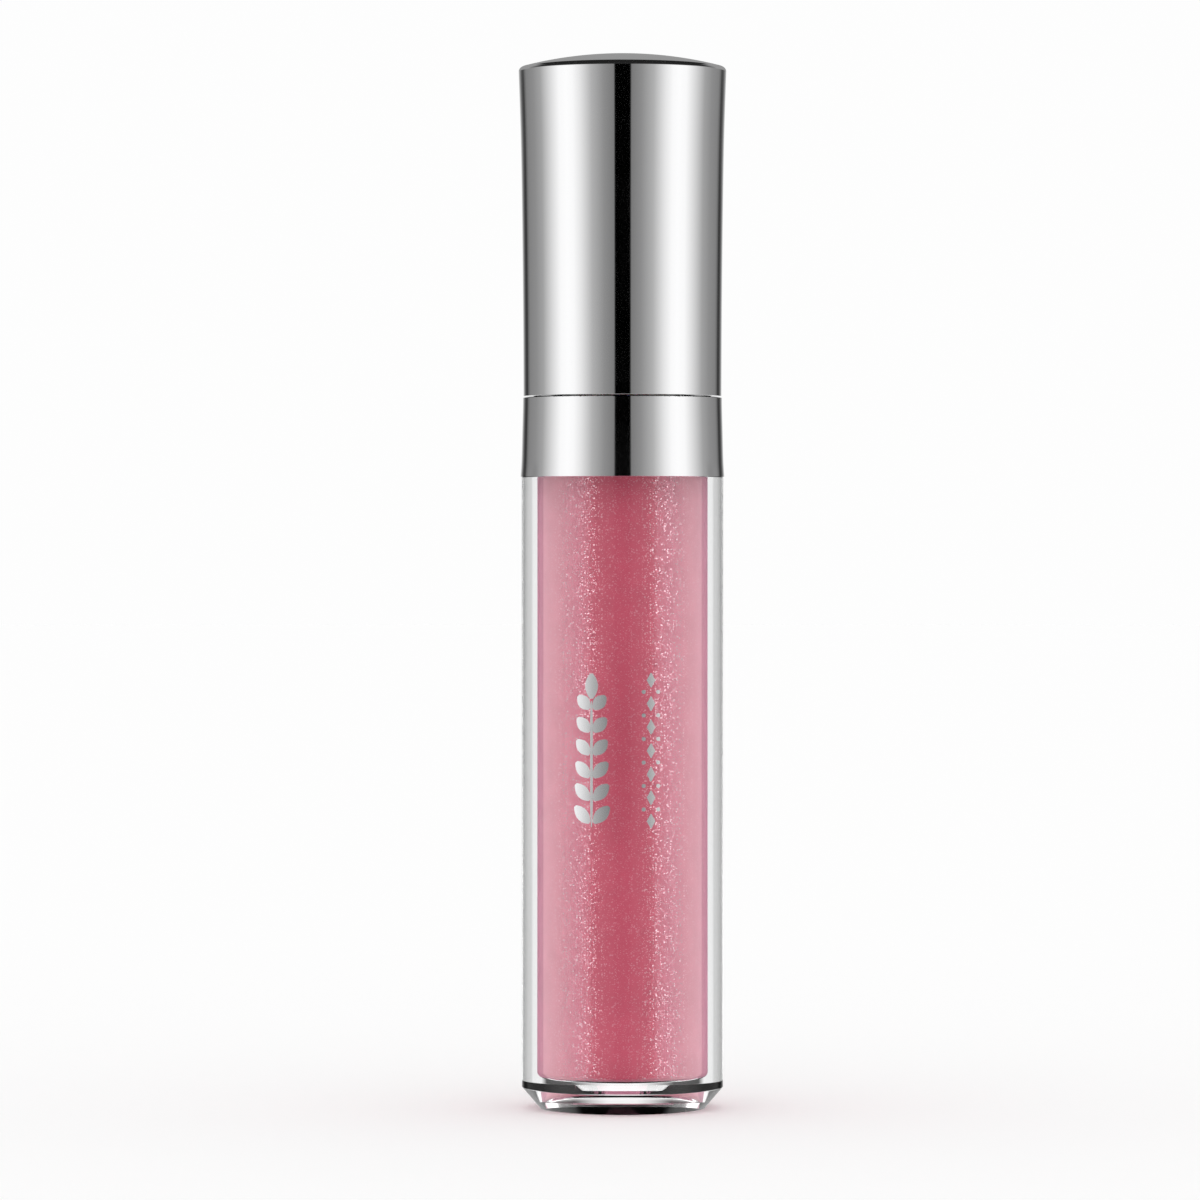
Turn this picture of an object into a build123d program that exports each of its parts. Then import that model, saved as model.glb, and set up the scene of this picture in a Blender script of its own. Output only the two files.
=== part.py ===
from build123d import *
from math import pi
import os

# A lip gloss tube, closed and standing upright, as twelve separate pieces.
# Millimetres. +Z is up, the origin is the centre of the base, and the front faces -Y.

# Barrel of the bottle
BODY_R = 9.5
FOOT_R = 7.8
CHAMFER_TOP = 2.0
BODY_TOP = 59.5
FOOT_ROUNDING = 0.15
RECESS_R = 7.1
RECESS_DEPTH = 1.55

# Cavity for the gloss, and the bore of the neck above it
CAVITY_R = 5.1
CAVITY_FLOOR = 2.85
CAVITY_ROUNDING = 0.6
CAVITY_TOP = 65.0
NECK_BORE_R = 4.6
BORE_BOTTOM = 65.6
GLOSS_LEVEL = 63.0

# Shoulder that the collar snaps on, and the threaded neck
SEAT_R = 8.2
SHOULDER_TOP = 65.6
BEAD_Z = 62.0
BEAD_HEIGHT = 0.12
BEAD_WIDTH = 0.8
NECK_R = 5.9
NECK_TOP = 77.0
NECK_ROUNDING = 0.25

# One-start right-hand thread. The two crests pass each other with a small radial gap.
PITCH = 2.4
RIDGE_BASE = 1.1
RIDGE_CREST = 0.5
RIDGE_ROOT_DEPTH = 0.15
NECK_CREST_R = 6.3
CAP_CREST_R = 6.36
NECK_THREAD_START = 69.6
NECK_TURNS = 1.5
CAP_TURNS = 1.25
CAP_THREAD_DROP = PITCH / 2

# Metallised collar round the shoulder
COLLAR_TOP = 67.0
COLLAR_FOOT_R = 9.6
COLLAR_WAIST_R = 9.44
COLLAR_TOP_R = 9.375
COLLAR_ROUNDING = 0.3
COLLAR_HOLE_R = 6.05
SLIP = 0.05

# Outer cap, slightly flared towards a shallow dome
CAP_BOTTOM = 67.1
CAP_FLARE = [(9.33, CAP_BOTTOM), (9.37, 75.0), (9.46, 84.0), (9.58, 91.5), (9.80, 98.0)]
DOME_TOP = 99.3
CAP_CORNER_ROUNDING = 0.45
CAP_RIM_ROUNDING = 0.12
SHELL_BORE_R = 8.4
SHELL_ROOF_Z = 96.8
SHELL_DOME_WALL = 1.5
HOLD_DOWN_R = 6.0
HOLD_DOWN_WALL = 1.0

# Liner inside the cap, with press ribs outside and the socket for the rod on top
LINER_BOTTOM = 67.6
LINER_R = 7.9
LINER_BORE_R = 6.75
LINER_ROOF = 78.95
LINER_ROOF_TOP = 80.8
LINER_ROUNDING = 0.3
RIB_COUNT = 24
RIB_WIDTH = 0.6
RIB_TIP_R = 8.37
RIB_BOTTOM = 68.6
SOCKET_R = 3.2
SOCKET_TOP = 88.4

# Steel ring in the top of the cap
WEIGHT_R = 8.2
WEIGHT_HOLE_R = 3.3
WEIGHT_GAP = 0.1
WEIGHT_HEIGHT = 8.0
WEIGHT_CHAMFER = 0.4

# Soft washer between the liner and the wiper
WASHER_R = 5.8
WASHER_HOLE_R = 1.97
WASHER_GAP = 0.03

# Wiper: a soft funnel pressed into the neck
WIPER_FLANGE_R = 5.8
WIPER_FLANGE = 0.7
WIPER_MOUTH_R = 3.9
WIPER_THROAT_R = 1.97
WIPER_CONE_TOP = 69.0
WIPER_LIP_TOP = 65.6
WIPER_BOTTOM = 64.6
WIPER_LIP_R = 2.7

# Rod and its blind bore
ROD_R = 1.92
ROD_BOTTOM = 23.9
ROD_TOP = 87.0
ROD_BORE_R = 0.68
ROD_BORE_DEPTH = 9.3
BARB_R = 2.1
BARB_Z = 84.0
BARB_LENGTH = 1.2
SOCKET_CLEARANCE = 0.02

# Doe-foot tip: each section is (height above the apex, half width, half depth, lean to the side)
TIP_LENGTH = 15.0
TIP_SECTIONS = [
    (0.0, 0.50, 0.40, 1.30),
    (0.9, 1.35, 0.95, 1.25),
    (3.0, 2.10, 1.50, 1.00),
    (5.5, 2.75, 1.85, 0.70),
    (8.5, 3.35, 2.10, 0.50),
    (11.0, 3.45, 2.10, 0.40),
    (13.2, 2.75, 2.02, 0.15),
    (15.0, 2.15, 1.95, 0.00),
]
TIP_BOTTOM = ROD_BOTTOM - TIP_LENGTH
FLOCK = 0.45
STEM_R = 0.66
STEM_LENGTH = 7.0
RESERVOIR_MIDDLE = 9.6
RESERVOIR_LENGTH = 5.4
RESERVOIR_WIDTH = 1.3
RESERVOIR_FLOOR = 1.1
GLOSS_CLEARANCE = 0.12

# Round label in the recess under the base
LABEL_R = 6.9
LABEL_THICKNESS = 0.2


def turned(corners, rounds=()):
    """Turn a closed outline of (radius, height) corners about Z. rounds lists (corner, rounding)."""
    outline = make_face(Polyline(*corners, close=True))
    for corner, rounding in rounds:
        vertex = outline.vertices().sort_by_distance(Vector(*corner))[0]
        outline = fillet(vertex, rounding)
    return revolve(Plane.XZ * outline, Axis.Z)


def edges_at(solid, radius, height):
    """The circular edges of a turned solid at one radius and height."""
    found = []
    for edge in solid.edges().filter_by(GeomType.CIRCLE):
        near_radius = abs(edge.radius - radius) < 0.01
        near_height = abs(edge.center().Z - height) < 0.01
        if near_radius and near_height:
            found.append(edge)
    return found


def disc(radius, bottom, top):
    """An upright cylinder on the axis between two heights."""
    return Pos(0, 0, bottom) * Cylinder(radius, top - bottom, align=(Align.CENTER, Align.CENTER, Align.MIN))


def thread_ridge(wall_r, crest_r, start_z, start_turn, turns):
    """A trapezoidal ridge wound round Z, rooted a little inside the wall that carries it."""
    path = Helix(PITCH, turns * PITCH, wall_r)
    outward = 1 if crest_r > wall_r else -1
    height = abs(crest_r - wall_r)
    plane = Plane(origin=path @ 0, x_dir=(outward, 0, 0), z_dir=path % 0)
    section = plane * make_face(
        Polyline(
            (-RIDGE_ROOT_DEPTH, -RIDGE_BASE / 2),
            (-RIDGE_ROOT_DEPTH, RIDGE_BASE / 2),
            (0, RIDGE_BASE / 2),
            (height, RIDGE_CREST / 2),
            (height, -RIDGE_CREST / 2),
            (0, -RIDGE_BASE / 2),
            close=True,
        )
    )
    ridge = sweep(section, path=path, is_frenet=True)
    return Pos(0, 0, start_z) * Rot(0, 0, 360 * start_turn) * ridge


def seat_bead(extra):
    """The low ring on the shoulder that the collar snaps over, or its groove when extra is added."""
    reach = SEAT_R + BEAD_HEIGHT + extra
    half = BEAD_WIDTH / 2 + extra
    return turned(
        [(SEAT_R - 0.5, BEAD_Z - half), (SEAT_R, BEAD_Z - half), (reach, BEAD_Z),
         (SEAT_R, BEAD_Z + half), (SEAT_R - 0.5, BEAD_Z + half)]
    )


def bottle():
    """Thick clear barrel with a chamfered foot, a stepped shoulder and a threaded neck."""
    barrel = turned(
        [
            (0, RECESS_DEPTH), (RECESS_R, RECESS_DEPTH), (RECESS_R, 0), (FOOT_R, 0),
            (BODY_R, CHAMFER_TOP), (BODY_R, BODY_TOP), (SEAT_R, BODY_TOP), (SEAT_R, SHOULDER_TOP),
            (NECK_R, SHOULDER_TOP), (NECK_R, NECK_TOP), (NECK_BORE_R, NECK_TOP),
            (NECK_BORE_R, BORE_BOTTOM), (CAVITY_R, CAVITY_TOP), (CAVITY_R, CAVITY_FLOOR), (0, CAVITY_FLOOR),
        ],
        [
            ((FOOT_R, 0), FOOT_ROUNDING), ((CAVITY_R, CAVITY_FLOOR), CAVITY_ROUNDING),
            ((NECK_R, NECK_TOP), NECK_ROUNDING), ((NECK_R, SHOULDER_TOP), NECK_ROUNDING),
        ],
    )
    ridge = thread_ridge(NECK_R, NECK_CREST_R, NECK_THREAD_START, 0, NECK_TURNS)
    return barrel + seat_bead(0) + ridge


def tip_form(inset):
    """The doe-foot's outer form, or the core inside it when an inset is taken off all round."""
    sections = TIP_SECTIONS if inset == 0 else TIP_SECTIONS[1:]
    faces = []
    for height, half_width, half_depth, lean in sections:
        place = Pos(-lean, 0, TIP_BOTTOM + height)
        faces.append(place * Ellipse(half_width - inset, half_depth - inset))
    return loft(faces)


def reservoir():
    """The upright slot in the front of the tip that carries a drop of gloss."""
    slot = SlotOverall(RESERVOIR_LENGTH, RESERVOIR_WIDTH, rotation=90)
    lean = TIP_SECTIONS[4][3]
    place = Pos(-lean, -RESERVOIR_FLOOR, TIP_BOTTOM + RESERVOIR_MIDDLE)
    return place * extrude(Plane.XZ * slot, BODY_R)


def gloss_fill():
    """The gloss: it fills the cavity to its level and leaves room for the rod and the tip."""
    fill = turned(
        [(0, CAVITY_FLOOR), (CAVITY_R, CAVITY_FLOOR), (CAVITY_R, GLOSS_LEVEL), (0, GLOSS_LEVEL)],
        [((CAVITY_R, CAVITY_FLOOR), CAVITY_ROUNDING)],
    )
    rod_room = disc(ROD_R + GLOSS_CLEARANCE, ROD_BOTTOM - GLOSS_CLEARANCE, GLOSS_LEVEL)
    apex_room = Pos(-TIP_SECTIONS[0][3], 0, TIP_BOTTOM) * Sphere(TIP_SECTIONS[0][1] + GLOSS_CLEARANCE)
    return fill - rod_room - tip_form(0) - tip_form(-GLOSS_CLEARANCE) - apex_room


def wiper():
    """Soft funnel: a flange on the neck, a sleeve in its bore and a lip that closes on the rod."""
    flange_top = NECK_TOP + WIPER_FLANGE
    return turned(
        [
            (WIPER_MOUTH_R, flange_top), (WIPER_FLANGE_R, flange_top), (WIPER_FLANGE_R, NECK_TOP),
            (NECK_BORE_R, NECK_TOP), (NECK_BORE_R, WIPER_CONE_TOP - 1), (WIPER_LIP_R, WIPER_BOTTOM),
            (WIPER_THROAT_R, WIPER_BOTTOM), (WIPER_THROAT_R, WIPER_LIP_TOP), (WIPER_MOUTH_R, WIPER_CONE_TOP),
        ]
    )


def shoulder_collar():
    """Ring that hides the shoulder: flared at its foot, rounded at its top, with a hole for the neck."""
    bore_r = SEAT_R + SLIP
    flare = Spline(
        (COLLAR_FOOT_R, BODY_TOP), (COLLAR_FOOT_R - 0.09, BODY_TOP + 1.6),
        (COLLAR_WAIST_R, BODY_TOP + 4.4), (COLLAR_TOP_R, COLLAR_TOP),
    )
    inside = Polyline(
        (COLLAR_TOP_R, COLLAR_TOP), (COLLAR_HOLE_R, COLLAR_TOP), (COLLAR_HOLE_R, SHOULDER_TOP + SLIP),
        (bore_r, SHOULDER_TOP + SLIP), (bore_r, BODY_TOP), (COLLAR_FOOT_R, BODY_TOP),
    )
    ring = revolve(Plane.XZ * make_face(flare + inside), Axis.Z)
    ring = fillet(edges_at(ring, COLLAR_TOP_R, COLLAR_TOP), COLLAR_ROUNDING)
    return ring - seat_bead(SLIP)


def base_label():
    """Thin round label against the roof of the recess under the base."""
    return disc(LABEL_R, RECESS_DEPTH - LABEL_THICKNESS, RECESS_DEPTH)


def cap_shell():
    """Outer cap: a flared wall and a shallow dome, with a ring inside that holds the weight down."""
    rim_r, rim_z = CAP_FLARE[0]
    corner_r, corner_z = CAP_FLARE[-1]
    dome_rise = DOME_TOP - corner_z
    dome_r = (corner_r**2 + dome_rise**2) / (2 * dome_rise)
    flare = Spline(*CAP_FLARE)
    dome = RadiusArc((corner_r, corner_z), (0, DOME_TOP), -dome_r)
    inside = Polyline(
        (0, DOME_TOP), (0, DOME_TOP - SHELL_DOME_WALL), (SHELL_BORE_R, SHELL_ROOF_Z),
        (SHELL_BORE_R, rim_z), (rim_r, rim_z),
    )
    shell = revolve(Plane.XZ * make_face(flare + dome + inside), Axis.Z)
    shell = fillet(edges_at(shell, corner_r, corner_z), CAP_CORNER_ROUNDING)
    shell = fillet(edges_at(shell, rim_r, rim_z), CAP_RIM_ROUNDING)
    ring_bottom = LINER_ROOF_TOP + 2 * WEIGHT_GAP + WEIGHT_HEIGHT
    ring_top = DOME_TOP - SHELL_DOME_WALL / 2 - dome_rise / 2
    ring = disc(HOLD_DOWN_R, ring_bottom, ring_top) - disc(HOLD_DOWN_R - HOLD_DOWN_WALL, ring_bottom, ring_top)
    return shell + ring


def inner_cap():
    """Liner: a skirt with the thread inside and press ribs outside, a roof, and the rod's socket."""
    socket_bore_r = ROD_R + SOCKET_CLEARANCE
    liner = turned(
        [
            (LINER_BORE_R, LINER_BOTTOM), (LINER_R, LINER_BOTTOM), (LINER_R, LINER_ROOF_TOP),
            (SOCKET_R, LINER_ROOF_TOP), (SOCKET_R, SOCKET_TOP), (0, SOCKET_TOP),
            (0, ROD_TOP + SOCKET_CLEARANCE), (socket_bore_r, ROD_TOP + SOCKET_CLEARANCE),
            (socket_bore_r, LINER_ROOF), (LINER_BORE_R, LINER_ROOF),
        ],
        [((LINER_R, LINER_BOTTOM), LINER_ROUNDING), ((SOCKET_R, SOCKET_TOP), LINER_ROUNDING)],
    )
    rib_reach = RIB_TIP_R - LINER_R + RIDGE_ROOT_DEPTH
    rib = Pos(LINER_R - RIDGE_ROOT_DEPTH, 0, RIB_BOTTOM) * Box(
        rib_reach, RIB_WIDTH, LINER_ROOF_TOP - RIB_BOTTOM, align=(Align.MIN, Align.CENTER, Align.MIN)
    )
    ribs = [Rot(0, 0, 360 * number / RIB_COUNT) * rib for number in range(RIB_COUNT)]
    skipped_turn = NECK_TURNS - CAP_TURNS
    thread_start = NECK_THREAD_START - CAP_THREAD_DROP + skipped_turn * PITCH
    ridge = thread_ridge(LINER_BORE_R, CAP_CREST_R, thread_start, skipped_turn, CAP_TURNS)
    return liner + ribs + ridge - rod_barb(SOCKET_CLEARANCE)


def cap_weight():
    """Steel ring round the rod's socket, free of the liner and of the shell by a small gap."""
    bottom = LINER_ROOF_TOP + WEIGHT_GAP
    ring = disc(WEIGHT_R, bottom, bottom + WEIGHT_HEIGHT) - disc(WEIGHT_HOLE_R, bottom, bottom + WEIGHT_HEIGHT)
    rims = edges_at(ring, WEIGHT_R, bottom) + edges_at(ring, WEIGHT_R, bottom + WEIGHT_HEIGHT)
    return chamfer(rims, WEIGHT_CHAMFER)


def sealing_washer():
    """Soft washer round the rod that the liner presses onto the wiper's flange."""
    bottom = NECK_TOP + WIPER_FLANGE + WASHER_GAP
    top = LINER_ROOF - WASHER_GAP
    return disc(WASHER_R, bottom, top) - disc(WASHER_HOLE_R, bottom, top)


def rod_barb(extra):
    """The barb near the top of the rod, or its groove in the socket when extra is added."""
    reach = BARB_R + extra
    return turned(
        [(0, BARB_Z - extra), (reach, BARB_Z - extra), (ROD_R - 0.1, BARB_Z + BARB_LENGTH + extra),
         (0, BARB_Z + BARB_LENGTH + extra)]
    )


def applicator_rod():
    """Clear rod with a barb in the socket and a blind bore for the stem of the tip."""
    rod = disc(ROD_R, ROD_BOTTOM, ROD_TOP) + rod_barb(0)
    return rod - disc(ROD_BORE_R, ROD_BOTTOM, ROD_BOTTOM + ROD_BORE_DEPTH)


def tip_core():
    """Soft core of the tip, with the stem that is pushed into the rod."""
    stem = disc(STEM_R, ROD_BOTTOM - 1, ROD_BOTTOM + STEM_LENGTH)
    return tip_form(FLOCK) + stem - reservoir()


def tip_flock():
    """The layer of short fibres on the core."""
    return tip_form(0) - tip_form(FLOCK) - reservoir()


PIECES = {
    "bottle": bottle,
    "gloss_fill": gloss_fill,
    "wiper": wiper,
    "shoulder_collar": shoulder_collar,
    "base_label": base_label,
    "cap_shell": cap_shell,
    "inner_cap": inner_cap,
    "cap_weight": cap_weight,
    "sealing_washer": sealing_washer,
    "applicator_rod": applicator_rod,
    "tip_core": tip_core,
    "tip_flock": tip_flock,
}

os.makedirs("parts", exist_ok=True)
for name, make in PIECES.items():
    piece = make()
    export_step(piece, f"parts/{name}.step")
    print(f"{name}: {len(piece.solids())} solid, {piece.volume:.1f} mm3")

print(f"one turn of the cap raises it {PITCH} mm, or {PITCH / (2 * pi):.6f} mm per radian")
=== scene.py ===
"""Looks for a lip gloss tube: clear barrel, tinted gloss, mirror silver collar and cap, flocked applicator.

Everything is in metres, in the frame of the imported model. The front of the tube faces -Y.
"""

import math
import random

import bmesh
import bpy
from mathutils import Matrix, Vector


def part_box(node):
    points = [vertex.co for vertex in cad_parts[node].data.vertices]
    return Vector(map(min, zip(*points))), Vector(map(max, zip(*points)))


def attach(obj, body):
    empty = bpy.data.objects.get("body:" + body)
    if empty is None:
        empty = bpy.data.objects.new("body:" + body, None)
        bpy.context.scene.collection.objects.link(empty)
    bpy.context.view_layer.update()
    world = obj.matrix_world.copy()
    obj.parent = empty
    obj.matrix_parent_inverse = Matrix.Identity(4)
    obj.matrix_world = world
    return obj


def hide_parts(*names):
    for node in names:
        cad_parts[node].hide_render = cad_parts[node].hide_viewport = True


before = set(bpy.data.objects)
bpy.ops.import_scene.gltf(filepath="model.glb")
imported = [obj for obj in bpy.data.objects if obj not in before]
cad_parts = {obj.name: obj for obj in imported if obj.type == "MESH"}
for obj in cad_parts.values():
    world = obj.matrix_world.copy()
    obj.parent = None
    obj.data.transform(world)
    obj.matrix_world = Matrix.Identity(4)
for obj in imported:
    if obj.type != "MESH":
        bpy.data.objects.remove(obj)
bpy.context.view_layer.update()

# ---------------------------------------------------------------- sizes

MM = 0.001
AROUND = 256


def box_mm(cad_node):
    """A CAD node's lowest and highest corners at rest, in millimetres."""
    low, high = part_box(cad_node)
    return low / MM, high / MM


BOTTLE_HIGH = box_mm("bottle")[1]
GLOSS_LOW, GLOSS_HIGH = box_mm("gloss_fill")
COLLAR_LOW, COLLAR_HIGH = box_mm("shoulder_collar")
CAP_LOW, CAP_HIGH = box_mm("cap_shell")
WIPER_LOW, WIPER_HIGH = box_mm("wiper")
ROD_LOW, ROD_HIGH = box_mm("applicator_rod")
TIP_LOW, TIP_HIGH = box_mm("tip_flock")
LABEL_LOW, LABEL_HIGH = box_mm("base_label")

# Bottle
BODY_R = BOTTLE_HIGH.x
FOOT_R = 7.8
CHAMFER_TOP = 2.0
BODY_TOP = COLLAR_LOW.z
RECESS_R = 7.1
CAVITY_R = GLOSS_HIGH.x
CAVITY_FLOOR = GLOSS_LOW.z
CAVITY_ROUNDING = 0.6
CAVITY_ROOF_DROP = 0.6
SEAT_R = 8.2
SHOULDER_TOP = 65.6
NECK_R = 5.9
NECK_BORE_R = 4.6
NECK_TOP = BOTTLE_HIGH.z
WALL_IOR = 1.57

# Gloss and label: the gloss wets the wall by a hair, and films of air lie under it and over the label
WETTING = 0.01
AIR_GAP = 0.02
MENISCUS = 0.3
SWATCH_R = 2.0
SWATCH_DEPTH = 0.02

# Thread on the neck
PITCH = 2.4
THREAD_START = 69.6
THREAD_TURNS = 1.5
THREAD_CREST_R = 6.3
RIDGE_BASE = 1.1
RIDGE_CREST = 0.5
RIDGE_ROOT = 0.2
RIDGE_FADE_TURNS = 0.12
STEPS_PER_TURN = 96

# Collar
COLLAR_FLARE = [(9.60, COLLAR_LOW.z), (9.51, 61.1), (9.44, 63.9), (9.39, 65.9), (9.375, COLLAR_HIGH.z)]
COLLAR_TOP_ROUNDING = 0.4
COLLAR_LIP_R = 6.05
COLLAR_BORE_R = 8.25
COLLAR_LEDGE = 65.65

# Cap
CAP_FLARE = [(9.33, CAP_LOW.z), (9.37, 75.0), (9.46, 84.0), (9.58, 91.5), (9.79, 98.0)]
CAP_CORNER = 0.45
CAP_RIM_ROUNDING = 0.03
CAP_TOP = CAP_HIGH.z
CAP_CROWN = 1.5
SHELL_BORE_R = 8.4
SHELL_ROOF = 96.8
DOME_STEPS = 24

# Wiper
MOUTH_R = 3.9
MOUTH_FLOOR = 69.0
NOSE_R = 2.7
NOSE_START = 68.0
ORIFICE_R = 1.97
ORIFICE_TOP = 65.6

# Rod
ROD_R = 1.92
ROD_BOTTOM = ROD_LOW.z
ROD_TOP = ROD_HIGH.z
STEM_LENGTH = 7.0
BORE_DEPTH = 9.3
BORE_R = 0.68

# Doe-foot tip: each section is (height above the apex, half width, half depth, lean to the side)
TIP_SECTIONS = [
    (0.0, 1.20, 0.85, 1.22),
    (0.9, 1.50, 1.05, 1.18),
    (3.0, 2.10, 1.50, 1.00),
    (5.5, 2.75, 1.85, 0.70),
    (8.5, 3.30, 2.10, 0.50),
    (11.0, 3.35, 2.10, 0.35),
    (13.2, 2.70, 2.02, 0.12),
    (15.0, 2.10, 1.95, 0.00),
]
TIP_LENGTH = TIP_HIGH.z - TIP_LOW.z
APEX_ROUNDING = 1.3
SHOULDER_ROUNDING = 0.5
SHOULDER_SHARE = 0.9
CORE_INSET = 0.46
CORE_LOW = 1.0
CORE_TOP_GAP = 0.3
RESERVOIR_MIDDLE = 9.6
RESERVOIR_LENGTH = 5.4
RESERVOIR_WIDTH = 2.0
RESERVOIR_FLOOR = 1.1

# Drop of gloss on the front of the tip
BEAD_HEIGHT = 1.9
BEAD_ASIDE = 0.15
BEAD_BACK = 0.85
BEAD_REACH = (0.95, 0.80, 1.25)
BEAD_NARROWING = 0.18
BEAD_STEPS = 32

# Flock fibres
FIBRE_COUNT = 12000
FIBRE_FLOOR = 0.8
FIBRE_TOP_GAP = 0.35
FIBRE_ROOT = 0.02
BARE_ROUND_BEAD = 1.3

# Silver foil on the barrel, by distance round the barrel from the front and by height
FOIL_BOTTOM_R = BODY_R + 0.004
FOIL_TOP_R = BODY_R + 0.018
ORNAMENT_LOW = 26.7
ORNAMENT_HIGH = 41.3
SPRIG_X = -2.95
STALK_WIDTH = 0.26
LEAF_PAIRS = 6
LEAF_LENGTH = 2.5
LEAF_WIDTH = 1.2
END_LEAF_WIDTH = 1.25
LOZENGE_X = 2.65
LOZENGE_COUNT = 7
LOZENGE_LENGTH = 1.5
LOZENGE_WIDTH = 0.85
DOT_R = 0.2
DOT_ASIDE = 0.7

# Studio: levels of white light
BACKDROP = 0.985
SIDE_LIGHT = 2.6
TOP_LIGHT = 1.7
FLOOR_R = 3000
FLOOR_TOP = -0.02


# ---------------------------------------------------------------- mesh helpers


def new_object(name, data):
    thing = bpy.data.objects.new(name, data)
    bpy.context.scene.collection.objects.link(thing)
    return thing


def object_from(name, shape):
    """An object made of a bmesh, with its faces pointing outwards."""
    bmesh.ops.recalc_face_normals(shape, faces=shape.faces)
    mesh = bpy.data.meshes.new(name)
    shape.to_mesh(mesh)
    shape.free()
    return new_object(name, mesh)


def smooth(thing, sharp_degrees=35):
    """Smooth shading, with edges over the angle left sharp."""
    for face in thing.data.polygons:
        face.use_smooth = True
    thing.data.set_sharp_from_angle(angle=math.radians(sharp_degrees))
    return thing


def rounded(corners, steps=8):
    """An outline of (radius, height) points from (radius, height, rounding) corners."""
    outline = []
    count = len(corners)
    for number, (r, z, rounding) in enumerate(corners):
        if rounding == 0:
            outline.append((r, z))
            continue
        here = Vector((r, z))
        before = Vector(corners[number - 1][:2])
        after = Vector(corners[(number + 1) % count][:2])
        to_before = (before - here).normalized()
        to_after = (after - here).normalized()
        half = to_before.angle(to_after) / 2
        reach = rounding / math.tan(half)
        middle = here + (to_before + to_after).normalized() * rounding / math.sin(half)
        start = here + to_before * reach - middle
        end = here + to_after * reach - middle
        start_angle = math.atan2(start.y, start.x)
        turn = math.atan2(end.y, end.x) - start_angle
        turn = (turn + math.pi) % (2 * math.pi) - math.pi
        for step in range(steps + 1):
            angle = start_angle + turn * step / steps
            outline.append((middle.x + rounding * math.cos(angle), middle.y + rounding * math.sin(angle)))
    return outline


def curve_through(points, steps=10):
    """Points of a smooth curve that passes through the given ones."""
    found = []
    last = len(points) - 1
    for number in range(last):
        p0 = Vector(points[max(number - 1, 0)])
        p1 = Vector(points[number])
        p2 = Vector(points[number + 1])
        p3 = Vector(points[min(number + 2, last)])
        for step in range(steps):
            t = step / steps
            a = 2 * p1 + (p2 - p0) * t
            b = (2 * p0 - 5 * p1 + 4 * p2 - p3) * t * t
            c = (3 * p1 - p0 - 3 * p2 + p3) * t * t * t
            found.append(tuple((a + b + c) / 2))
    found.append(tuple(points[-1]))
    return found


def turned(name, outline, around=AROUND):
    """Turn a closed outline of (radius, height) points in millimetres about Z."""
    shape = bmesh.new()
    rings = []
    for r, z in outline:
        if abs(r) < 1e-6:
            rings.append([shape.verts.new((0, 0, z * MM))])
            continue
        ring = []
        for number in range(around):
            angle = 2 * math.pi * number / around
            ring.append(shape.verts.new((r * math.cos(angle) * MM, r * math.sin(angle) * MM, z * MM)))
        rings.append(ring)
    for ring, following in zip(rings, rings[1:] + rings[:1]):
        if len(ring) == 1 and len(following) == 1:
            continue
        for number in range(around):
            other = (number + 1) % around
            if len(ring) == 1:
                shape.faces.new((ring[0], following[other], following[number]))
            elif len(following) == 1:
                shape.faces.new((ring[number], ring[other], following[0]))
            else:
                shape.faces.new((ring[number], ring[other], following[other], following[number]))
    return smooth(object_from(name, shape))


def thread_ridge(name, wall_r, crest_r, start_z, turns):
    """A closed thread ridge round Z whose two ends narrow and fade into the wall."""
    shape = bmesh.new()
    steps = int(turns * STEPS_PER_TURN)
    inner = wall_r - RIDGE_ROOT
    previous = None
    first = None
    for step in range(steps + 1):
        turn = step / STEPS_PER_TURN
        from_end = min(turn, turns - turn) / RIDGE_FADE_TURNS
        share = max(0.02, math.sin(min(from_end, 1) * math.pi / 2))
        crest = wall_r + (crest_r - wall_r) * share
        z = start_z + PITCH * turn
        base = RIDGE_BASE / 2 * (0.6 + 0.4 * share)
        top = RIDGE_CREST / 2 * (0.4 + 0.6 * share)
        section = [
            (inner, -base), (inner, base), (wall_r, base), (crest, top), (crest, -top), (wall_r, -base),
        ]
        angle = 2 * math.pi * turn
        ring = []
        for r, dz in section:
            ring.append(shape.verts.new((r * math.cos(angle) * MM, r * math.sin(angle) * MM, (z + dz) * MM)))
        if previous:
            for number in range(len(ring)):
                other = (number + 1) % len(ring)
                shape.faces.new((previous[number], previous[other], ring[other], ring[number]))
        else:
            first = ring
        previous = ring
    shape.faces.new(first)
    shape.faces.new(previous)
    return object_from(name, shape)


def combined(base, other, operation):
    """base after a boolean operation with other, as one closed skin; other is removed."""
    change = base.modifiers.new("change", "BOOLEAN")
    change.operation = operation
    change.solver = "EXACT"
    change.object = other
    bpy.context.view_layer.update()
    result = bpy.data.meshes.new_from_object(base.evaluated_get(bpy.context.evaluated_depsgraph_get()))
    base.modifiers.clear()
    base.data = result
    bpy.data.objects.remove(other)
    return smooth(base)


# ---------------------------------------------------------------- material helpers


def new_material(name):
    """A material with its node tree and its shader."""
    material = bpy.data.materials.new(name)
    material.use_nodes = True
    tree = material.node_tree
    shader = tree.nodes["Principled BSDF"]
    return material, tree, shader


def node(tree, kind, **values):
    """A node of a kind, with values for its sockets or its settings by name."""
    made = tree.nodes.new(kind)
    for key, value in values.items():
        if key in made.inputs:
            made.inputs[key].default_value = value
        else:
            setattr(made, key, value)
    return made


def paint(thing, material):
    thing.data.materials.clear()
    thing.data.materials.append(material)
    return thing


def object_coordinates(tree, scale=(1, 1, 1)):
    """The place on the object, in millimetres, times scale."""
    place = tree.nodes.new("ShaderNodeTexCoord")
    mapping = tree.nodes.new("ShaderNodeMapping")
    mapping.inputs["Scale"].default_value = [1 / MM * s for s in scale]
    tree.links.new(place.outputs["Object"], mapping.inputs["Vector"])
    return mapping.outputs["Vector"]


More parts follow.
